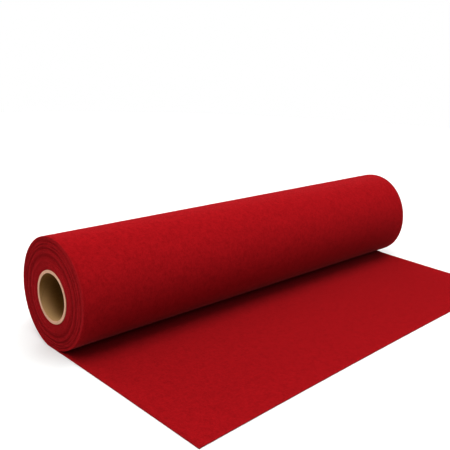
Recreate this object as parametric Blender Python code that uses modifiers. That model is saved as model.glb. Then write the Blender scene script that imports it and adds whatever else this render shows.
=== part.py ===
"""Roll of red nonwoven felt on a cardboard core, with its loose end laid out flat.

Metres, +Z up. The roll lies along X, its near end at -X. The cloth comes off the underside of
the roll and lies forward, towards -Y, on the surface that the roll rests on. The origin is on
that surface, at the bottom centre of the whole. The far end was wound less evenly than the near
one, so the whole reaches a little further that way from the middle of the cloth.
"""

import math
from collections import namedtuple

import bmesh
import bpy
from mathutils import Matrix

# Driving dimensions of the cloth and the roll
CLOTH_WIDTH = 0.900
CLOTH_THICKNESS = 0.0020
ROLL_RADIUS = 0.0967
FLAT_SPOT_DEPTH = 0.0010

# How far the edges of the outer turns stand out past the cloth's width, at each end, at the top
# and the underside of the roll. At its front and back they are flush.
NEAR_FLARE = 0.0005
FAR_FLARE = 0.0110

# Driving dimensions of the cardboard core
CORE_OUTER_RADIUS = 0.0455
CORE_WALL = 0.0055
CORE_EDGE_EASE = 0.0006
CORE_END_INSET = 0.0004
CORE_DROP = 0.0068
CORE_SHIFT = 0.0030

# How far the loose end reaches from under the roll, at each side, how much its edges bow in, how
# much narrower its far side is at the free edge, and where the flare of the roll has run out,
# as a share of the reach
REACH_NEAR = 0.3670
REACH_FAR = 0.3425
SIDE_BOW = 0.0006
FREE_EDGE_BOW = 0.0030
FAR_DRAW_IN = 0.0060
FLARE_ENDS = 0.20

# Room between pieces that touch, and the steps of the round and flat surfaces
FIT_GAP = 0.0003
ROUND_STEPS = 72
SHEET_STEPS_ALONG = 24
SHEET_STEPS_OUT = 20
SAME_POINT = 0.000001
SAME_POINT_TURNED = 0.0001
SHARP_DEGREES = 50

# Colours, as linear red, green and blue, and how matt they are
RED_FELT = (0.36, 0.006, 0.011)
FELT_ROUGHNESS = 0.95
TAN_BOARD = (0.52, 0.34, 0.20)
BOARD_ROUGHNESS = 0.85

# Places that follow from the sizes
HALF_WIDTH = CLOTH_WIDTH / 2
MIDDLE_X = (NEAR_FLARE - FAR_FLARE) / 2
TURN_STEP = CLOTH_THICKNESS + FIT_GAP
BACK_RADIUS = ROLL_RADIUS - TURN_STEP / 4
ROLL_Y = (REACH_NEAR - BACK_RADIUS) / 2
ROLL_HEIGHT = ROLL_RADIUS - FLAT_SPOT_DEPTH
CORE_Y = ROLL_Y + CORE_SHIFT
CORE_HEIGHT = ROLL_HEIGHT - CORE_DROP
SHEET_START = ROLL_Y - FIT_GAP

# The wound turns end unevenly. Each row is a ring of the end face: how far out through the wound
# wall it lies, how far its turns sit in from the cloth's width at each end, how much that
# wanders on the way round, and how many times.
Ring = namedtuple("Ring", "share near_inset far_inset wander waves")
END_RINGS = (
    Ring(0.000, 0.0012, 0.0009, 0.0000, 0),
    Ring(0.050, 0.0010, 0.0007, 0.0003, 2),
    Ring(0.150, 0.0005, 0.0010, 0.0004, 3),
    Ring(0.300, 0.0002, 0.0004, 0.0003, 2),
    Ring(0.390, 0.0009, 0.0006, 0.0003, 3),
    Ring(0.470, 0.0018, 0.0013, 0.0005, 2),
    Ring(0.525, 0.0009, 0.0011, 0.0004, 3),
    Ring(0.575, 0.0003, 0.0004, 0.0004, 2),
    Ring(0.625, 0.0009, 0.0007, 0.0004, 3),
    Ring(0.680, 0.0019, 0.0015, 0.0005, 2),
    Ring(0.740, 0.0010, 0.0010, 0.0004, 3),
    Ring(0.800, 0.0003, 0.0005, 0.0004, 2),
    Ring(0.880, 0.0011, 0.0012, 0.0004, 3),
    Ring(0.925, 0.0005, 0.0007, 0.0003, 2),
    Ring(0.965, 0.0004, 0.0005, 0.0002, 3),
    Ring(0.985, 0.0011, 0.0014, 0.0001, 2),
    Ring(1.000, 0.0028, 0.0030, 0.0000, 0),
)

# The turns were wound tighter on the front, a little above its middle, so the rings between core
# and rim run off centre.
RING_DRIFT = 0.098
DRIFT_ANGLE = 0.42


def clear_scene():
    """Removes every object, so that the model starts from nothing."""
    for thing in list(bpy.data.objects):
        bpy.data.objects.remove(thing, do_unlink=True)


def make_material(name, colour, roughness):
    """A plain Principled BSDF material. The colour is linear red, green and blue."""
    material = bpy.data.materials.new(name)
    material.use_nodes = True
    shader = material.node_tree.nodes["Principled BSDF"]
    shader.inputs["Base Color"].default_value = (*colour, 1.0)
    shader.inputs["Roughness"].default_value = roughness
    shader.inputs["Metallic"].default_value = 0.0
    return material


def add_object(name, mesh, material, collection):
    """Puts the mesh in the collection as a named object with its own material."""
    mesh.materials.append(material)
    thing = bpy.data.objects.new(name, mesh)
    collection.objects.link(thing)
    return thing


def outside_point(turned):
    """(y, z) on the roll's outside, from 0 under the front, over the top, to 1 underneath.

    The radius grows by one thickness of cloth on the way, and the underside is pressed flat:
    its front half lies on the loose end and its back half on the surface below.
    """
    angle = 2 * math.pi * turned
    radius = ROLL_RADIUS - (1 - turned) * TURN_STEP
    lies_at = TURN_STEP if turned < 0.5 else 0.0
    y = ROLL_Y - radius * math.sin(angle)
    z = ROLL_HEIGHT - radius * math.cos(angle)
    return y, max(z, lies_at)


def inside_point(turned):
    """(y, z) on the wall of the hole that the core fills, at the same angles."""
    angle = 2 * math.pi * turned
    radius = CORE_OUTER_RADIUS + FIT_GAP
    return CORE_Y - radius * math.sin(angle), CORE_HEIGHT - radius * math.cos(angle)


def ring_points(ring, end):
    """One turn's edge as a loop of points, at the near end (-1) or the far end (+1)."""
    inset = ring.near_inset if end < 0 else ring.far_inset
    flare = NEAR_FLARE if end < 0 else FAR_FLARE
    most_drift = RING_DRIFT * 4 * ring.share * (1 - ring.share)
    points = []
    for step in range(ROUND_STEPS + 1):
        turned = step / ROUND_STEPS
        share = ring.share - most_drift * math.sin(2 * math.pi * turned - DRIFT_ANGLE)
        inner_y, inner_z = inside_point(turned)
        outer_y, outer_z = outside_point(turned)
        y = inner_y + share * (outer_y - inner_y)
        z = inner_z + share * (outer_z - inner_z)
        swing = 0.5 + 0.5 * math.sin(2 * math.pi * (ring.waves * turned + ring.share))
        stands_out = flare * ring.share * math.cos(2 * math.pi * turned) ** 2
        x = MIDDLE_X + end * (HALF_WIDTH + stands_out - inset - ring.wander * swing)
        points.append((x, y, z))
    return points


def wound_roll(collection):
    """The wound cloth: lofted through the rings of one end, along the outside, and back in."""
    sections = [ring_points(ring, -1) for ring in END_RINGS]
    sections += [ring_points(ring, 1) for ring in reversed(END_RINGS)]
    form = bmesh.new()
    loops = [[form.verts.new(point) for point in section] for section in sections]
    for here, after in zip(loops, loops[1:] + loops[:1]):
        for step in range(len(here)):
            following = (step + 1) % len(here)
            form.faces.new((here[step], here[following], after[following], after[step]))
    bmesh.ops.remove_doubles(form, verts=form.verts, dist=SAME_POINT)
    bmesh.ops.recalc_face_normals(form, faces=form.faces)
    mesh = bpy.data.meshes.new("wound_roll")
    form.to_mesh(mesh)
    form.free()
    mesh.shade_smooth()
    mesh.set_sharp_from_angle(angle=math.radians(SHARP_DEGREES))
    felt = make_material("red felt, wound", RED_FELT, FELT_ROUGHNESS)
    return add_object("wound_roll", mesh, felt, collection)


def core_tube(collection):
    """The cardboard tube: a turned wall with eased end edges, laid along the roll."""
    inner = CORE_OUTER_RADIUS - CORE_WALL
    half = HALF_WIDTH - CORE_END_INSET
    profile = (
        (CORE_OUTER_RADIUS - CORE_EDGE_EASE, half),
        (CORE_OUTER_RADIUS, half - CORE_EDGE_EASE),
        (CORE_OUTER_RADIUS, CORE_EDGE_EASE - half),
        (CORE_OUTER_RADIUS - CORE_EDGE_EASE, -half),
        (inner + CORE_EDGE_EASE, -half),
        (inner, CORE_EDGE_EASE - half),
        (inner, half - CORE_EDGE_EASE),
        (inner + CORE_EDGE_EASE, half),
    )
    count = len(profile)
    mesh = bpy.data.meshes.new("core_tube")
    mesh.from_pydata(
        [(radius, 0.0, height) for radius, height in profile],
        [(index, (index + 1) % count) for index in range(count)],
        [],
    )
    cardboard = make_material("tan cardboard", TAN_BOARD, BOARD_ROUGHNESS)
    tube = add_object("core_tube", mesh, cardboard, collection)
    turn = tube.modifiers.new("turn the wall", "SCREW")
    turn.axis = "Z"
    turn.steps = ROUND_STEPS
    turn.render_steps = ROUND_STEPS
    turn.use_merge_vertices = True
    turn.merge_threshold = SAME_POINT_TURNED
    tube.matrix_world = (
        Matrix.Translation((MIDDLE_X, CORE_Y, CORE_HEIGHT))
        @ Matrix.Rotation(math.radians(90), 4, "Y")
    )
    return tube


def loose_sheet(collection):
    """The loose end: a flat sheet, flared where it leaves the roll and cut out of square."""
    mesh = bpy.data.meshes.new("loose_sheet")
    form = bmesh.new()
    bmesh.ops.create_grid(form, x_segments=SHEET_STEPS_ALONG, y_segments=SHEET_STEPS_OUT, size=1.0)
    for point in form.verts:
        along = point.co.x
        out = (1 - point.co.y) / 2
        flare_left = max(1 - out / FLARE_ENDS, 0.0) ** 2
        if along < 0:
            stands_out = NEAR_FLARE * flare_left
        else:
            stands_out = FAR_FLARE * flare_left - FAR_DRAW_IN * out
        half = HALF_WIDTH + stands_out - SIDE_BOW * 4 * out * (1 - out)
        middle_reach = (REACH_NEAR + REACH_FAR) / 2
        skew = (REACH_FAR - REACH_NEAR) / 2
        bow = FREE_EDGE_BOW * (1 - along**2)
        free_edge = ROLL_Y - (middle_reach + skew * along - bow)
        y = SHEET_START + out * (free_edge - SHEET_START)
        point.co = (MIDDLE_X + along * half, y, 0.0)
    form.to_mesh(mesh)
    form.free()
    felt = make_material("red felt, loose end", RED_FELT, FELT_ROUGHNESS)
    sheet = add_object("loose_sheet", mesh, felt, collection)
    thicken = sheet.modifiers.new("thickness of the cloth", "SOLIDIFY")
    thicken.thickness = CLOTH_THICKNESS
    thicken.offset = 1.0
    return sheet


clear_scene()
parts = bpy.data.collections.new("felt_roll")
bpy.context.scene.collection.children.link(parts)
core_tube(parts)
wound_roll(parts)
loose_sheet(parts)
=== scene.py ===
import math
from collections import namedtuple

import bmesh
import bpy
from mathutils import Matrix, Vector, noise


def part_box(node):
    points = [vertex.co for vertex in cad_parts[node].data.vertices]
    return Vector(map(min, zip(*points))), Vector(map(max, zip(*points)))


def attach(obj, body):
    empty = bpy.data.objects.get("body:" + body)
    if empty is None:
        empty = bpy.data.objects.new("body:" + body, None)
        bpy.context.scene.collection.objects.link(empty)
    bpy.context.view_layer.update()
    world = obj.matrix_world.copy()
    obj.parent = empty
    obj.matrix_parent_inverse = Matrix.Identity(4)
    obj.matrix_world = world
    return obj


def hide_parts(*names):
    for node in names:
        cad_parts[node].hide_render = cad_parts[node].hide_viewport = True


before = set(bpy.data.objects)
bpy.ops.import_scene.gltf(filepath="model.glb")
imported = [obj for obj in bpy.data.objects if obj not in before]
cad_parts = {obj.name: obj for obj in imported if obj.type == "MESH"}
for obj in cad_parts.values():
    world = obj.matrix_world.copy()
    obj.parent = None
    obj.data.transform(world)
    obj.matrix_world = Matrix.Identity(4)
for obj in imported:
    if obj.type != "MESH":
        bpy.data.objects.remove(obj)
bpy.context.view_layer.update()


# The core: a spiral-wound cardboard tube, cut off square with a saw, as long as the cloth is
# wide. Its layers show as fine rings in the cut, and the edges of its paper as a slanting line
# in the bore. Its dark paper carries painted light, paler towards the mouth and lower down,
# for the light that falls in at the mouth. The cloth is wound onto it.

BOARD_CUT = (0.68, 0.43, 0.31)
# Painted light for the mouth of the bore, paler there and lower down:
BOARD_PAINTED_LIGHT = (0.50, 0.33, 0.165)
BOARD_FACE = (0.175, 0.082, 0.014)
BOARD_DARK = (0.100, 0.040, 0.006)
PAINTED_LIGHT_DEPTH = 0.034
CORE_WALL = 0.0055
CORE_ROUND = 160
CORE_EDGE_EASE = 0.0006
LAYER_INSET = 0.0007
LAYER_STEPS = (0.00012, -0.00016, 0.00010)
LAYERS_ACROSS_WALL = 7
LAYER_WAVER = 3.0
LAYER_LINES_FROM = 0.2
LAYER_LINES_SHOW = 0.22
SQUARE_TO_AXIS = 0.99
EASE_DEGREES = 60
SMOOTH_DEGREES = 35
SEAM_PITCH = 0.135
SEAM_SHARE = 0.006
SEAM_SHOWS = 0.35
PAPER_EDGE_SHARE = 0.035
CUT_FROM = 0.0011
CUT_TO = 0.0004
CUT_SHADE = 0.86
FACE_SHADES = (0.55, 1.0)
PAINTED_LIGHT_ABOVE = 0.10
FLECK_EDGE = 0.16
FLECK_MIDDLE = 0.05
FLECKS_SHOW = 0.35
BOARD_ROUGHNESS = (0.78, 0.90)
FIBRE_RELIEF = 0.35
PAPER_RELIEF = 0.6
LAYER_RELIEF = 0.5
BOARD_RELIEF_DEPTH = 0.00025

core_low, core_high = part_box("core_tube")
core_middle = (core_low + core_high) / 2
core_radius = (core_high.z - core_low.z) / 2
core_half = (core_high.x - core_low.x) / 2


def node(tree, kind, **values):
    """Adds a node. A name that the node has as an input is set there, and any other on the node."""
    made = tree.nodes.new("ShaderNode" + kind)
    for name, value in values.items():
        socket = made.inputs.get(name.replace("_", " "))
        if socket is None:
            setattr(made, name, value)
        else:
            socket.default_value = value
    return made


def math_node(tree, operation, first, second):
    """A Math node of two inputs, each of them a socket or a number."""
    made = tree.nodes.new("ShaderNodeMath")
    made.operation = operation
    for place, source in enumerate((first, second)):
        if hasattr(source, "links"):
            tree.links.new(source, made.inputs[place])
        else:
            made.inputs[place].default_value = source
    return made.outputs["Value"]


def ramp_node(tree, source, start, end, low=0.0, high=1.0):
    """Takes a value from start to end smoothly to low to high."""
    made = node(tree, "MapRange", interpolation_type="SMOOTHSTEP")
    tree.links.new(source, made.inputs["Value"])
    for name, value in (("From Min", start), ("From Max", end), ("To Min", low), ("To Max", high)):
        made.inputs[name].default_value = value
    return made.outputs["Result"]


def mix_colours(tree, share, first, second):
    """Mixes two colours, each of them a socket or a linear colour."""
    made = node(tree, "Mix", data_type="RGBA")
    tree.links.new(share, made.inputs["Factor"])
    for place, source in ((6, first), (7, second)):
        if hasattr(source, "links"):
            tree.links.new(source, made.inputs[place])
        else:
            made.inputs[place].default_value = (*source, 1.0)
    return made.outputs[2]


bpy.ops.object.select_all(action="DESELECT")
bpy.ops.mesh.primitive_cylinder_add(
    vertices=CORE_ROUND,
    radius=core_radius,
    depth=2 * core_half,
    end_fill_type="NOTHING",
    location=core_middle,
    rotation=(0, math.radians(90), 0),
)
core = bpy.context.object
core.name = "cardboard_core"
bpy.ops.object.transform_apply(location=True, rotation=True, scale=True)
wall = core.modifiers.new("wall", "SOLIDIFY")
wall.thickness = CORE_WALL
wall.offset = -1
bpy.ops.object.modifier_apply(modifier=wall.name)
ease = core.modifiers.new("eased edges", "BEVEL")
ease.width = CORE_EDGE_EASE
ease.segments = 2
ease.limit_method = "ANGLE"
ease.angle_limit = math.radians(EASE_DEGREES)
bpy.ops.object.modifier_apply(modifier=ease.name)

bpy.ops.object.mode_set(mode="EDIT")
bpy.ops.mesh.select_mode(type="FACE")
shape = bmesh.from_edit_mesh(core.data)
for face in shape.faces:
    face.select_set(abs(face.normal.x) > SQUARE_TO_AXIS)
bmesh.update_edit_mesh(core.data)
for layer_step in LAYER_STEPS:
    bpy.ops.mesh.inset(thickness=LAYER_INSET, depth=layer_step)
bpy.ops.mesh.select_all(action="SELECT")
bpy.ops.mesh.normals_make_consistent(inside=False)
bpy.ops.object.mode_set(mode="OBJECT")
bpy.ops.object.shade_smooth_by_angle(angle=math.radians(SMOOTH_DEGREES))

board = bpy.data.materials.new("spiral-wound cardboard")
board.use_nodes = True
tree = board.node_tree
shader = tree.nodes["Principled BSDF"]
place = node(tree, "TexCoord")
centred = node(tree, "Mapping", Location=-core_middle)
tree.links.new(place.outputs["Object"], centred.inputs["Vector"])
parts = node(tree, "SeparateXYZ")
tree.links.new(centred.outputs["Vector"], parts.inputs["Vector"])
side, up = parts.outputs["Y"], parts.outputs["Z"]
round_angle = math_node(tree, "ARCTAN2", side, up)
radius_squared = math_node(
    tree, "ADD", math_node(tree, "MULTIPLY", side, side), math_node(tree, "MULTIPLY", up, up)
)
from_axis = math_node(tree, "POWER", radius_squared, 0.5)

fibres = node(tree, "TexNoise", Scale=420.0, Detail=4.0, Roughness=0.65, Distortion=0.3)
pulp = node(tree, "Mapping", Scale=(0.35, 1.0, 1.0))
tree.links.new(centred.outputs["Vector"], pulp.inputs["Vector"])
tree.links.new(pulp.outputs["Vector"], fibres.inputs["Vector"])
clouds = node(tree, "TexNoise", Scale=38.0, Detail=3.0, Roughness=0.55)
tree.links.new(centred.outputs["Vector"], clouds.inputs["Vector"])
specks = node(tree, "TexVoronoi", Scale=330.0, Randomness=1.0)
tree.links.new(centred.outputs["Vector"], specks.inputs["Vector"])

layers = math_node(tree, "MULTIPLY", from_axis, 2 * math.pi * LAYERS_ACROSS_WALL / CORE_WALL)
uneven_layers = math_node(
    tree, "ADD", layers, math_node(tree, "MULTIPLY", clouds.outputs["Fac"], LAYER_WAVER)
)
layer_waves = math_node(tree, "SINE", uneven_layers, 0.0)
layer_lines = ramp_node(tree, layer_waves, LAYER_LINES_FROM, 1.0)

turns_along = math_node(
    tree,
    "ADD",
    math_node(tree, "DIVIDE", parts.outputs["X"], SEAM_PITCH),
    math_node(tree, "DIVIDE", round_angle, 2 * math.pi),
)
seam_phase = math_node(tree, "PINGPONG", turns_along, 0.5)
seam = ramp_node(tree, seam_phase, SEAM_SHARE, 0.0)
paper_edge = ramp_node(
    tree, math_node(tree, "FRACT", turns_along, 0.0), 0.0, PAPER_EDGE_SHARE, 1.0, 0.0
)

from_middle = math_node(tree, "ABSOLUTE", parts.outputs["X"], 0.0)
inside_cut = ramp_node(tree, from_middle, core_half - CUT_FROM, core_half - CUT_TO)
face_fibres = ramp_node(tree, fibres.outputs["Fac"], 0.25, 0.70, *FACE_SHADES)
face_colour = mix_colours(tree, face_fibres, BOARD_DARK, BOARD_FACE)
# Painted light: the paper is made paler towards the mouth and lower down, where the light from
# above falls in at the mouth.
bore_painted_light = math_node(
    tree,
    "MULTIPLY",
    ramp_node(tree, from_middle, core_half - PAINTED_LIGHT_DEPTH, core_half),
    ramp_node(tree, up, core_radius / 2, -core_radius, PAINTED_LIGHT_ABOVE, 1.0),
)
face_colour = mix_colours(tree, bore_painted_light, face_colour, BOARD_PAINTED_LIGHT)
seam_shade = math_node(tree, "MULTIPLY", seam, SEAM_SHOWS)
face_colour = mix_colours(tree, seam_shade, face_colour, BOARD_DARK)
cut_fibres = mix_colours(
    tree,
    ramp_node(tree, fibres.outputs["Fac"], 0.25, 0.75),
    tuple(CUT_SHADE * value for value in BOARD_CUT),
    BOARD_CUT,
)
layer_shade = math_node(tree, "MULTIPLY", layer_lines, LAYER_LINES_SHOW)
cut_colour = mix_colours(tree, layer_shade, cut_fibres, BOARD_DARK)
board_colour = mix_colours(tree, inside_cut, face_colour, cut_colour)
flecks = ramp_node(
    tree, specks.outputs["Distance"], FLECK_EDGE, FLECK_MIDDLE, 0.0, FLECKS_SHOW
)
board_colour = mix_colours(tree, flecks, board_colour, BOARD_DARK)
tree.links.new(board_colour, shader.inputs["Base Color"])
tree.links.new(
    ramp_node(tree, clouds.outputs["Fac"], 0.3, 0.7, *BOARD_ROUGHNESS), shader.inputs["Roughness"]
)
relief = math_node(
    tree,
    "ADD",
    math_node(tree, "MULTIPLY", fibres.outputs["Fac"], FIBRE_RELIEF),
    math_node(tree, "SUBTRACT", math_node(tree, "MULTIPLY", paper_edge, PAPER_RELIEF), seam),
)
layer_grooves = math_node(tree, "MULTIPLY", layer_lines, LAYER_RELIEF)
relief = math_node(tree, "SUBTRACT", relief, layer_grooves)
bump = node(tree, "Bump", Strength=0.6, Distance=BOARD_RELIEF_DEPTH)
tree.links.new(relief, bump.inputs["Height"])
tree.links.new(bump.outputs["Normal"], shader.inputs["Normal"])
shader.inputs["Specular IOR Level"].default_value = 0.1
core.data.materials.append(board)

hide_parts("core_tube")
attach(core, "root")


# The wound turns: one long strip of needle-punched felt, wound round the core. Its edges
# wandered sideways as it was wound, so the ends of the roll show rings that stand out or lie
# in a little. The core lies low in the roll, as its weight presses on the turns beneath it.

CLOTH_WIDTH = 0.900
CLOTH_THICKNESS = 0.0020
ROLL_RADIUS = 0.0967
FLAT_SPOT_DEPTH = 0.0010
TURNS = 24
FIRST_TURN = 0.3
STEPS_PER_TURN = 120
AIR_GAP = 0.0001
FIT_GAP = 0.0003
NEAR_FLARE = 0.0005
FAR_FLARE = 0.0110
END_CURVE = 0.00035
WANDER_DRIFT = 0.098
DRIFT_PHASE = 0.42
WANDER_MOST = 0.0017
FRAYED = 0.00022
FRAY_LENGTH = 0.009
SLOW_FRAY = 0.6
SLOW_FRAY_LENGTH = 0.036

# How far the near edge lies in, by how far out through the wound wall the turn is.
Wander = namedtuple("Wander", "share inset")
EDGE_WANDER = (
    Wander(0.000, 0.0009),
    Wander(0.050, 0.0010),
    Wander(0.150, 0.0006),
    Wander(0.230, 0.0008),
    Wander(0.300, 0.0000),
    Wander(0.360, 0.0009),
    Wander(0.470, 0.0015),
    Wander(0.575, 0.0003),
    Wander(0.670, 0.0017),
    Wander(0.730, 0.0005),
    Wander(0.775, 0.0013),
    Wander(0.825, 0.0002),
    Wander(0.880, 0.0014),
    Wander(0.935, 0.0003),
    Wander(1.000, 0.0000),
)

# The rounded edge of the cloth, from its inner to its outer face: how far through the cloth,
# and how far in from the widest, as a share of END_CURVE.
EdgePoint = namedtuple("EdgePoint", "through inset")
CUT_EDGE = (
    EdgePoint(0.00, 1.00),
    EdgePoint(0.10, 0.35),
    EdgePoint(0.32, 0.00),
    EdgePoint(0.68, 0.00),
    EdgePoint(0.90, 0.35),
    EdgePoint(1.00, 1.00),
)

half_width = CLOTH_WIDTH / 2
roll_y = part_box("loose_sheet")[1].y + FIT_GAP
roll_height = ROLL_RADIUS - FLAT_SPOT_DEPTH


def eased(share):
    """Smooth from 0 to 1."""
    share = min(max(share, 0.0), 1.0)
    return share * share * (3 - 2 * share)


def cloth_face(turn, turns_under=None):
    """(y, z) of the cloth's outer face after so many turns, counted from underneath.

    With turns_under, it is the face at the same angle that has only so many turns under it.
    """
    angle = 2 * math.pi * turn
    share = (turn if turns_under is None else turns_under) / TURNS
    on_core = (
        core_middle.y - core_radius * math.sin(angle),
        core_middle.z - core_radius * math.cos(angle),
    )
    on_roll = (
        roll_y - ROLL_RADIUS * math.sin(angle),
        max(roll_height - ROLL_RADIUS * math.cos(angle), 0.0),
    )
    return [inner + share * (outer - inner) for inner, outer in zip(on_core, on_roll)]


def cloth_back(turn):
    """(y, z) of the cloth's inner face, a hair's breadth off the turn below."""
    outer = cloth_face(turn)
    below = cloth_face(turn, max(turn - 1, 0.0))
    through = math.dist(outer, below)
    gap = min(AIR_GAP / max(through, AIR_GAP), 0.5)
    return [under + gap * (over - under) for under, over in zip(below, outer)]


def edge_inset(turn, along, end):
    """How far the cloth's edge lies in from its full width, at the near (-1) or far (+1) end.

    The second and third numbers of a noise place only pick another stretch of the noise.
    """
    share = turn / TURNS
    drift = WANDER_DRIFT * 4 * share * (1 - share)
    place = share + drift * math.sin(2 * math.pi * turn - DRIFT_PHASE)
    place = min(max(place, 0.0), 1.0)
    for inner, outer in zip(EDGE_WANDER, EDGE_WANDER[1:]):
        if place <= outer.share:
            part = eased((place - inner.share) / (outer.share - inner.share))
            inset = inner.inset + part * (outer.inset - inner.inset)
            break
    if end > 0:
        inset = (WANDER_MOST - inset) * eased((1 - share) * TURNS)
    fray = noise.noise(Vector((along / FRAY_LENGTH, 7.0 * end, 0.0)))
    fray += SLOW_FRAY * noise.noise(Vector((along / SLOW_FRAY_LENGTH, 11.0 * end, 3.0)))
    return max(inset + FRAYED * fray, 0.0)


def edge_place(turn, inset, end):
    """The x of the cloth's edge.

    The outer turns stand out past the cloth's width at the top and the underside of the roll.
    """
    flare = NEAR_FLARE if end < 0 else FAR_FLARE
    stands_out = flare * turn / TURNS * math.cos(2 * math.pi * turn) ** 2
    return core_middle.x + end * (half_width + stands_out - inset)


def cloth_strip(name, stations, columns, on_square):
    """A closed strip of cloth from one station to the next.

    A station holds its outer and inner (y, z), its place along the cloth, its near and far x and
    how far in its edges lie. The columns are shares of the width, and on_square gives the bake
    map's place of a corner.
    """
    form = bmesh.new()
    place_layer = form.verts.layers.float_vector.new("cloth")
    tuck_layer = form.verts.layers.float.new("tuck")
    map_layer = form.loops.layers.uv.new("OFBake")
    last = len(columns) - 1
    outline = [("outer", share, 1.0, 0.0) for share in columns]
    outline += [("far", 1.0, point.through, point.inset) for point in reversed(CUT_EDGE[1:-1])]
    outline += [("inner", share, 0.0, 0.0) for share in reversed(columns)]
    outline += [("near", 0.0, point.through, point.inset) for point in CUT_EDGE[1:-1]]
    sections = []
    for station in stations:
        section = []
        for side, share, through, inset in outline:
            if side in ("outer", "inner"):
                inset = 1.0 if share in (0.0, 1.0) else 0.0
            x = station.near + share * (station.far - station.near)
            x += END_CURVE * inset * (1 - 2 * share)
            y = station.inner[0] + through * (station.outer[0] - station.inner[0])
            z = station.inner[1] + through * (station.outer[1] - station.inner[1])
            point = form.verts.new((x, y, z))
            across = (share - 0.5) * CLOTH_WIDTH
            point[place_layer] = (across, station.along, through * CLOTH_THICKNESS)
            # How far the edge lies in, which sets the felt's painted shade.
            point[tuck_layer] = station.insets[0 if share < 0.5 else 1] / WANDER_MOST
            section.append(point)
        sections.append(section)
    count = len(outline)
    for row, (here, after) in enumerate(zip(sections, sections[1:])):
        for index in range(count):
            following = (index + 1) % count
            face = form.faces.new((here[index], here[following], after[following], after[index]))
            sides = outline[index][0], outline[following][0]
            strip = sides[0] if sides[0] in ("near", "far") else sides[1]
            corners = ((row, index), (row, following), (row + 1, following), (row + 1, index))
            for loop, (at_row, at_index) in zip(face.loops, corners):
                side, share, through, inset = outline[at_index]
                loop[map_layer].uv = on_square(strip, at_row, share, through, loop.vert.co)
    for section, turned in ((sections[0], True), (sections[-1], False)):
        outer = section[: last + 1]
        inner = section[count - last - 1 - len(CUT_EDGE) + 2 : count - len(CUT_EDGE) + 2][::-1]
        quads = [
            (outer[at], outer[at + 1], inner[at + 1], inner[at]) for at in range(last)
        ]
        quads.append([inner[0], *section[count - len(CUT_EDGE) + 2 :], outer[0]])
        quads.append([outer[-1], *section[last + 1 : last + len(CUT_EDGE) - 1], inner[-1]])
        for quad in quads:
            face = form.faces.new(quad[::-1] if turned else quad)
            for loop in face.loops:
                loop[map_layer].uv = on_square("cap", 0, 0.0, 0.0, loop.vert.co)
    bmesh.ops.recalc_face_normals(form, faces=form.faces)
    mesh = bpy.data.meshes.new(name)
    form.to_mesh(mesh)
    form.free()
    mesh.shade_smooth()
    strip = bpy.data.objects.new(name, mesh)
    bpy.context.scene.collection.objects.link(strip)
    return strip


Station = namedtuple("Station", "outer inner along near far insets")


def wound_stations(first, last, along):
    """The stations from one turn count to another, and the cloth's length at the end of them."""
    stations = []
    before = None
    for step in range(round((last - first) * STEPS_PER_TURN) + 1):
        turn = first + step / STEPS_PER_TURN
        outer, inner = cloth_face(turn), cloth_back(turn)
        if before is not None:
            along += math.dist(outer, before)
        before = outer
        insets = edge_inset(turn, along, -1), edge_inset(turn, along, 1)
        near = edge_place(turn, insets[0], -1)
        far = edge_place(turn, insets[1], 1)
        stations.append(Station(outer, inner, along, near, far, insets))
    return stations, along


# The bake map of the wound turns: both ends of the roll as discs, side by side, and the faces
# that lie against one another in a band below them.
DISC_SPAN = 0.200
DISC_LIFT = 0.02
HIDDEN_BAND = 0.46
MAP_EDGE = 0.01
BAND_EDGE = 0.004


def wound_map(side, row, share, through, point):
    """The place on the square map of a corner of the wound turns."""
    if side in ("near", "far", "cap"):
        left = 0.0 if point.x < 0 else 0.5
        across = (point.y - roll_y) / DISC_SPAN + 0.5
        up = point.z / DISC_SPAN + DISC_LIFT
        return left + 0.5 * min(max(across, 0.0), 1.0), 0.5 + 0.5 * up
    along = row / wound_rows * HIDDEN_BAND
    lift = BAND_EDGE if side == "outer" else BAND_EDGE + HIDDEN_BAND / 2
    return MAP_EDGE + (1 - 2 * MAP_EDGE) * share, lift + along / 2


wound, wound_length = wound_stations(FIRST_TURN, TURNS - 1, 0.0)
wound_rows = len(wound)
wound_cloth = cloth_strip("wound_felt", wound, (0.0, 1.0), wound_map)

FELT_DEEP = (0.195, 0.0042, 0.0066)
FELT_RED = (0.300, 0.0086, 0.0124)
FELT_LIGHT = (0.336, 0.0118, 0.0172)
CUT_PALE = (0.40, 0.021, 0.027)
# Painted shade on the cut edges of turns that lie in:
TUCKED_PAINTED_SHADE = (0.150, 0.0028, 0.0045)
FIBRE_TURNS = (0.0, 58.0, 121.0)
FIBRE_STEP = (0.31, 0.17)
FIBRE_STRETCH = (1.0, 0.12, 0.8)
FIBRE_DARK = 0.42
FIBRE_BRIGHT = 0.72
DRAWN_OUT = (1.08, 0.90, 1.0)
PIT_EDGE = 0.28
PIT_MIDDLE = 0.06
CUT_SHOWS = 0.0022
CUT_FIBRES_SHOW = (0.10, 0.42)
FIBRES_SHOW = 0.55
MOTTLE_DEEP = 0.34
MOTTLE_RED = 0.66
TUCKED_FROM = 0.35
TUCKED_TO = 0.95
TUCKED_SHADE_SHOWS = 0.55
FELT_ROUGHNESS = (0.88, 1.0)
FELT_RELIEF_DEPTH = 0.00035
SHEEN_WEIGHT = 0.13
SHEEN_ROUGHNESS = 0.30
SHEEN_TINT = (1.0, 0.40, 0.42)

# How much each part of the fleece adds to its mottling and to its height.
CLUMPS_MOTTLE = 0.40
DRIFTS_MOTTLE = 0.24
PATCHES_MOTTLE = 0.36
STRANDS_RISE = 0.45
CLUMPS_RISE = 0.60
PATCHES_RISE = 0.30
PITS_SINK = 0.55


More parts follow.
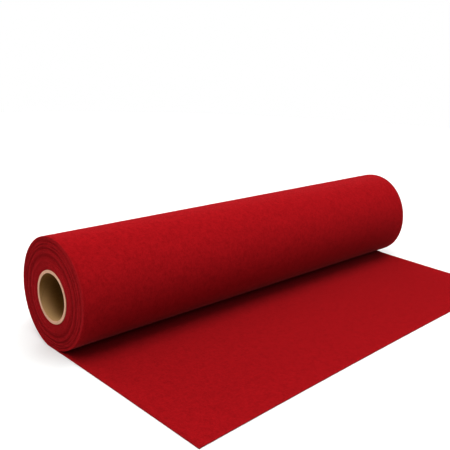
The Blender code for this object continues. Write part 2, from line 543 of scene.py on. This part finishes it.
def new_group(name, inputs, outputs):
    """An empty shader node group with named sockets, and its inner input and output nodes."""
    group = bpy.data.node_groups.new(name, "ShaderNodeTree")
    for label, kind in inputs:
        group.interface.new_socket(label, in_out="INPUT", socket_type=kind)
    for label, kind in outputs:
        group.interface.new_socket(label, in_out="OUTPUT", socket_type=kind)
    return group, group.nodes.new("NodeGroupInput"), group.nodes.new("NodeGroupOutput")


# The fleece: fine fibres that lie every way, punched flat by rows of needles and drawn out a
# little along the cloth, so the face is softly mottled in patches of some millimetres, and
# slightly pitted.
fleece, given, result = new_group(
    "felt fleece",
    [("Place", "NodeSocketVector")],
    [("Fibres", "NodeSocketFloat"), ("Mottle", "NodeSocketFloat"), ("Height", "NodeSocketFloat")],
)
strands = None
for number, degrees in enumerate(FIBRE_TURNS):
    turned = node(
        fleece,
        "Mapping",
        Location=(FIBRE_STEP[0] * number, FIBRE_STEP[1] * number, 0.0),
        Rotation=(0.0, 0.0, math.radians(degrees)),
        Scale=FIBRE_STRETCH,
    )
    fleece.links.new(given.outputs["Place"], turned.inputs["Vector"])
    fibre = node(fleece, "TexNoise", Scale=2100.0, Detail=2.0, Roughness=0.5, Distortion=0.8)
    fleece.links.new(turned.outputs["Vector"], fibre.inputs["Vector"])
    bright = ramp_node(fleece, fibre.outputs["Fac"], FIBRE_DARK, FIBRE_BRIGHT)
    strands = bright if strands is None else math_node(fleece, "MAXIMUM", strands, bright)
drawn = node(fleece, "Mapping", Scale=DRAWN_OUT)
fleece.links.new(given.outputs["Place"], drawn.inputs["Vector"])
clumps = node(fleece, "TexNoise", Scale=400.0, Detail=3.0, Roughness=0.6)
fleece.links.new(drawn.outputs["Vector"], clumps.inputs["Vector"])
patches = node(fleece, "TexNoise", Scale=180.0, Detail=2.0, Roughness=0.7)
fleece.links.new(drawn.outputs["Vector"], patches.inputs["Vector"])
drifts = node(fleece, "TexNoise", Scale=78.0, Detail=2.0, Roughness=0.6)
fleece.links.new(drawn.outputs["Vector"], drifts.inputs["Vector"])
needles = node(fleece, "TexVoronoi", Scale=520.0, Randomness=0.75)
fleece.links.new(given.outputs["Place"], needles.inputs["Vector"])
pits = ramp_node(fleece, needles.outputs["Distance"], PIT_EDGE, PIT_MIDDLE)
mottle = math_node(
    fleece,
    "ADD",
    math_node(fleece, "MULTIPLY", clumps.outputs["Fac"], CLUMPS_MOTTLE),
    math_node(fleece, "MULTIPLY", drifts.outputs["Fac"], DRIFTS_MOTTLE),
)
mottle = math_node(
    fleece, "ADD", mottle, math_node(fleece, "MULTIPLY", patches.outputs["Fac"], PATCHES_MOTTLE)
)
height = math_node(
    fleece,
    "ADD",
    math_node(fleece, "MULTIPLY", strands, STRANDS_RISE),
    math_node(fleece, "MULTIPLY", clumps.outputs["Fac"], CLUMPS_RISE),
)
height = math_node(
    fleece, "ADD", height, math_node(fleece, "MULTIPLY", patches.outputs["Fac"], PATCHES_RISE)
)
height = math_node(fleece, "SUBTRACT", height, math_node(fleece, "MULTIPLY", pits, PITS_SINK))
fleece.links.new(strands, result.inputs["Fibres"])
fleece.links.new(mottle, result.inputs["Mottle"])
fleece.links.new(height, result.inputs["Height"])


def felt_material(name):
    """Matt red felt on the cloth's coordinates, a little paler where cut, with painted shade where
    edges lie in.
    """
    felt = bpy.data.materials.new(name)
    felt.use_nodes = True
    tree = felt.node_tree
    shader = tree.nodes["Principled BSDF"]
    own_place = node(tree, "Attribute", attribute_name="cloth")
    face = tree.nodes.new("ShaderNodeGroup")
    face.node_tree = fleece
    tree.links.new(own_place.outputs["Vector"], face.inputs["Place"])
    mottled = ramp_node(tree, face.outputs["Mottle"], MOTTLE_DEEP, MOTTLE_RED)
    colour = mix_colours(tree, mottled, FELT_DEEP, FELT_RED)
    light_fibres = math_node(tree, "MULTIPLY", face.outputs["Fibres"], FIBRES_SHOW)
    colour = mix_colours(tree, light_fibres, colour, FELT_LIGHT)
    parts = node(tree, "SeparateXYZ")
    tree.links.new(own_place.outputs["Vector"], parts.inputs["Vector"])
    across = math_node(tree, "ABSOLUTE", parts.outputs["X"], 0.0)
    edge = ramp_node(tree, across, half_width - CUT_SHOWS, half_width)
    end = ramp_node(tree, parts.outputs["Y"], cloth_end - CUT_SHOWS, cloth_end)
    cut = math_node(tree, "MAXIMUM", edge, end)
    cut_fibres = ramp_node(tree, face.outputs["Fibres"], 0.0, 1.0, *CUT_FIBRES_SHOW)
    colour = mix_colours(tree, math_node(tree, "MULTIPLY", cut, cut_fibres), colour, CUT_PALE)
    # Painted shade: the cut edge of a turn is darkened the further it lies in, for the shade in the
    # grooves between the rings.
    tucked = node(tree, "Attribute", attribute_name="tuck")
    tuck_painted_shade = ramp_node(
        tree, tucked.outputs["Fac"], TUCKED_FROM, TUCKED_TO, 0.0, TUCKED_SHADE_SHOWS
    )
    colour = mix_colours(tree, math_node(tree, "MULTIPLY", edge, tuck_painted_shade), colour, TUCKED_PAINTED_SHADE)
    tree.links.new(colour, shader.inputs["Base Color"])
    roughness = ramp_node(tree, face.outputs["Mottle"], 0.2, 0.8, *FELT_ROUGHNESS)
    tree.links.new(roughness, shader.inputs["Roughness"])
    bump = node(tree, "Bump", Strength=0.50, Distance=FELT_RELIEF_DEPTH)
    tree.links.new(face.outputs["Height"], bump.inputs["Height"])
    tree.links.new(bump.outputs["Normal"], shader.inputs["Normal"])
    shader.inputs["Specular IOR Level"].default_value = 0.0
    shader.inputs["Sheen Weight"].default_value = SHEEN_WEIGHT
    shader.inputs["Sheen Roughness"].default_value = SHEEN_ROUGHNESS
    shader.inputs["Sheen Tint"].default_value = (*SHEEN_TINT, 1.0)
    return felt


# The outermost turn and the loose end: the last stretch of the same strip, off the underside
# of the roll and laid flat towards the front, cut a little out of square. It is pressed thin
# under the roll and comes back to its full thickness in front of it.

REACH_NEAR = 0.3670
REACH_FAR = 0.3425
SIDE_BOW = 0.0006
FREE_EDGE_BOW = 0.0030
FAR_DRAW_IN = 0.0060
FLARE_ENDS = 0.20
LOOSE_STEPS = 60
COLUMN_STEPS = 120
PRESSED_OUT_TO = 0.014
FULL_FROM = 0.032
SURFACE_SWELL = 0.00012
SWELL_EASES_IN = 0.05
BROAD_SWELLS = 14
FINE_SWELLS = 55
FINE_SWELL_SHARE = 0.5
SWELL_ON_FLOOR = 0.7
SWELL_ON_ROLL = 0.3
EDGE_CREEP = 0.00025
CREEPS = 60

# The rounded free edge: how far back from the edge, and how much of the thickness is there.
FreeEdge = namedtuple("FreeEdge", "back through")
FREE_EDGE = (
    FreeEdge(0.00120, 1.00),
    FreeEdge(0.00060, 0.97),
    FreeEdge(0.00025, 0.86),
    FreeEdge(0.00008, 0.66),
    FreeEdge(0.00000, 0.42),
)

outer_turn, outer_length = wound_stations(TURNS - 1, TURNS, wound_length)
pressed = math.dist(outer_turn[-1].outer, outer_turn[-1].inner)
middle_reach = (REACH_NEAR + REACH_FAR) / 2
cloth_end = outer_length + middle_reach

outs = [middle_reach * (step + 1) / LOOSE_STEPS for step in range(LOOSE_STEPS - 1)]
loose_rows = [(out, 1.0) for out in outs]
loose_rows += [(middle_reach - point.back, point.through) for point in FREE_EDGE]
loose = []
for out, through in loose_rows:
    thick = pressed + (CLOTH_THICKNESS - pressed) * eased(
        (out - PRESSED_OUT_TO) / (FULL_FROM - PRESSED_OUT_TO)
    )
    share = out / middle_reach
    bow = SIDE_BOW * 4 * share * (1 - share)
    flare_left = max(1 - share / FLARE_ENDS, 0.0) ** 2
    near_half = half_width - bow + NEAR_FLARE * flare_left
    far_half = half_width - bow + FAR_FLARE * flare_left - FAR_DRAW_IN * share
    low = thick * (1 - through) / 2
    y = roll_y - out
    loose.append(
        Station(
            (y, low),
            (y, thick - low),
            outer_length + out,
            core_middle.x - near_half,
            core_middle.x + far_half,
            (0.0, 0.0),
        )
    )

# The bake map of the outer turn and the loose end: where each band starts and how far it goes
# up the square map, then how the cut sides and the end caps are placed.
Band = namedtuple("Band", "start span")
ROLL_OUTSIDE = Band(0.01, 0.565)
FLOOR_TOP = Band(0.585, 0.33)
FLOOR_UNDER = Band(0.925, 0.04)
ROLL_INSIDE = Band(0.970, 0.02)
BAND_ACROSS = Band(0.03, 0.94)
SIDE_UP = Band(0.01, 0.95)
NEAR_SIDE = Band(0.004, 0.012)
FAR_SIDE = Band(0.984, 0.012)
CAP_ACROSS = Band(0.5, 1.04)
CAP_UP = Band(0.996, 1.5)

turn_rows = len(outer_turn)
all_rows = turn_rows + len(loose)


def in_band(band, share):
    """The place of a share on a band of the map."""
    return band.start + band.span * share


def outer_map(side, row, share, through, point):
    """The place on the square map of a corner of the outer turn or the loose end.

    The roll's outside has the lowest band, the loose end's top the next, and what lies
    underneath or against the roll is squeezed into narrow bands above them.
    """
    if side == "cap":
        return in_band(CAP_ACROSS, point.x), in_band(CAP_UP, point.z)
    out = row / (turn_rows - 1)
    laid = (row - turn_rows + 1) / (all_rows - turn_rows)
    if side in ("near", "far"):
        cut_side = NEAR_SIDE if side == "near" else FAR_SIDE
        return in_band(cut_side, through), in_band(SIDE_UP, row / all_rows)
    across = in_band(BAND_ACROSS, share)
    if side == "outer":
        return across, (in_band(ROLL_OUTSIDE, out) if out <= 1 else in_band(FLOOR_UNDER, laid))
    return across, (in_band(ROLL_INSIDE, out) if out < 1 else in_band(FLOOR_TOP, laid))


column_shares = [column / COLUMN_STEPS for column in range(COLUMN_STEPS + 1)]
outer_cloth = cloth_strip("outer_felt", outer_turn + loose, column_shares, outer_map)

# The free edge runs out of square and bows in, and the cloth swells a little here and there.
place_of = outer_cloth.data.attributes["cloth"].data
for vertex, place in zip(outer_cloth.data.vertices, place_of):
    across, along, through = place.vector
    out = max(along - outer_length, 0.0)
    side = 2 * across / CLOTH_WIDTH
    edge_reach = (
        middle_reach
        + (REACH_FAR - REACH_NEAR) / 2 * side
        - FREE_EDGE_BOW * (1 - side * side)
        + EDGE_CREEP * noise.noise(Vector((across * CREEPS, 0.0, 5.0)))
    )
    vertex.co.y -= out / middle_reach * (edge_reach - middle_reach)
    swell = noise.noise(Vector((across * BROAD_SWELLS, along * BROAD_SWELLS, 1.0)))
    fine_place = Vector((across * FINE_SWELLS, along * FINE_SWELLS, 2.0))
    swell += FINE_SWELL_SHARE * noise.noise(fine_place)
    if out > 0:
        lift = eased(out / FULL_FROM) * SURFACE_SWELL * (swell + 1.0) * SWELL_ON_FLOOR
        vertex.co.z += lift * through / CLOTH_THICKNESS if through > 0 else lift
    else:
        on_top = eased((along - wound_length) / SWELL_EASES_IN)
        on_top *= eased((outer_length - along) / SWELL_EASES_IN)
        away = Vector((0.0, vertex.co.y - roll_y, vertex.co.z - roll_height)).normalized()
        rise = SURFACE_SWELL * on_top * (swell + SWELL_ON_ROLL) * through / CLOTH_THICKNESS
        vertex.co += away * rise

felt = felt_material("red needle-punched felt")
for strip in (wound_cloth, outer_cloth):
    strip.data.materials.append(felt)
    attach(strip, "root")
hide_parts("wound_roll")
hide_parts("loose_sheet")


# The studio: a pale floor that runs out to white, one wide soft light overhead, weaker ones
# round the roll, and a weak white surround. The floor glows as painted light, weakly near the
# roll and more towards its rim.

FLOOR_RADIUS = 3.2
FLOOR_ROUND = 96
FLOOR_DROP = 0.0002
FLOOR_WHITE = (0.64, 0.66, 0.655)
NEAR_GLOW = 0.15
FAR_GLOW = 0.75
GLOW_FROM = 0.9
GLOW_TO = 2.6
SURROUND_STRENGTH = 0.10

# The softboxes: where each stands, how long and wide it is, how far it leans from facing down
# and which way it is turned then, in degrees, and its power in watts.
Softbox = namedtuple("Softbox", "name x y z long wide lean turn watts")
SOFTBOXES = (
    Softbox("overhead softbox", 0.0, 0.0, 2.2, 9.0, 9.0, 0, 0, 220.0),
    Softbox("strip softbox", 0.08, -0.105, 0.85, 2.4, 0.5, 0, 0, 10.0),
    Softbox("softbox behind", 0.0, 2.4, 1.2, 3.0, 1.2, 75, 180, 55.0),
    Softbox("softbox in front", 1.5, -1.7, 1.3, 1.2, 1.0, 61, 34, 12.0),
    Softbox("softbox at the end", -1.6, -0.5, 1.6, 0.9, 0.9, 40, -70, 5.0),
)
CONTRAST = 0.8

bpy.ops.object.select_all(action="DESELECT")
bpy.ops.mesh.primitive_circle_add(
    vertices=FLOOR_ROUND, radius=FLOOR_RADIUS, fill_type="NGON", location=(0.0, 0.0, -FLOOR_DROP)
)
floor = bpy.context.object
floor.name = "floor"
paint = bpy.data.materials.new("pale floor")
paint.use_nodes = True
paint_shader = paint.node_tree.nodes["Principled BSDF"]
paint_shader.inputs["Base Color"].default_value = (*FLOOR_WHITE, 1.0)
paint_shader.inputs["Roughness"].default_value = 0.9
paint_shader.inputs["Specular IOR Level"].default_value = 0.1
paint_shader.inputs["Emission Color"].default_value = (1.0, 1.0, 1.0, 1.0)
spot = node(paint.node_tree, "TexCoord")
from_centre = node(paint.node_tree, "VectorMath", operation="LENGTH")
paint.node_tree.links.new(spot.outputs["Object"], from_centre.inputs[0])
# Painted light: the floor glows, weakly near the roll and more towards its rim, where the lamps
# fall off.
glow = ramp_node(
    paint.node_tree, from_centre.outputs["Value"], GLOW_FROM, GLOW_TO, NEAR_GLOW, FAR_GLOW
)
paint.node_tree.links.new(glow, paint_shader.inputs["Emission Strength"])
floor.data.materials.append(paint)

for box in SOFTBOXES:
    light = bpy.data.lights.new(box.name, "AREA")
    light.shape = "RECTANGLE"
    light.size = box.long
    light.size_y = box.wide
    light.energy = box.watts
    stand = bpy.data.objects.new(box.name, light)
    stand.location = (box.x, box.y, box.z)
    stand.rotation_euler = (math.radians(box.lean), 0.0, math.radians(box.turn))
    bpy.context.scene.collection.objects.link(stand)

surround = bpy.data.worlds.new("surround")
surround.use_nodes = True
sky = surround.node_tree
sky.nodes.clear()
lit = sky.nodes.new("ShaderNodeBackground")
lit.inputs["Color"].default_value = (1.0, 1.0, 1.0, 1.0)
lit.inputs["Strength"].default_value = SURROUND_STRENGTH
seen = sky.nodes.new("ShaderNodeBackground")
seen.inputs["Color"].default_value = (1.0, 1.0, 1.0, 1.0)
ray = sky.nodes.new("ShaderNodeLightPath")
either = sky.nodes.new("ShaderNodeMixShader")
sky.links.new(ray.outputs["Is Camera Ray"], either.inputs["Fac"])
sky.links.new(lit.outputs["Background"], either.inputs[1])
sky.links.new(seen.outputs["Background"], either.inputs[2])
shown = sky.nodes.new("ShaderNodeOutputWorld")
sky.links.new(either.outputs["Shader"], shown.inputs["Surface"])
bpy.context.scene.world = surround
bpy.context.scene.view_settings.view_transform = "Standard"
bpy.context.scene.view_settings.gamma = CONTRAST


# The camera stands off the near end, to the front and a little above, at the photograph's angle.

CAMERA_PLACE = (-0.98315, -0.8015, 0.5212)
CAMERA_TURN = 0.7711
CAMERA_DOWN = 0.2188
CAMERA_ROLL = 0.0431
CAMERA_LENS = 54.34
FRAME_SHIFT = -40 / 450

lens = bpy.data.cameras.new("camera")
lens.sensor_width = 36.0
lens.lens = CAMERA_LENS
lens.shift_y = FRAME_SHIFT
camera = bpy.data.objects.new("camera", lens)
camera.matrix_world = (
    Matrix.Translation(CAMERA_PLACE)
    @ Matrix.Rotation(-CAMERA_TURN, 4, "Z")
    @ Matrix.Rotation(math.radians(90) - CAMERA_DOWN, 4, "X")
    @ Matrix.Rotation(CAMERA_ROLL, 4, "Z")
)
bpy.context.scene.collection.objects.link(camera)
bpy.context.scene.camera = camera
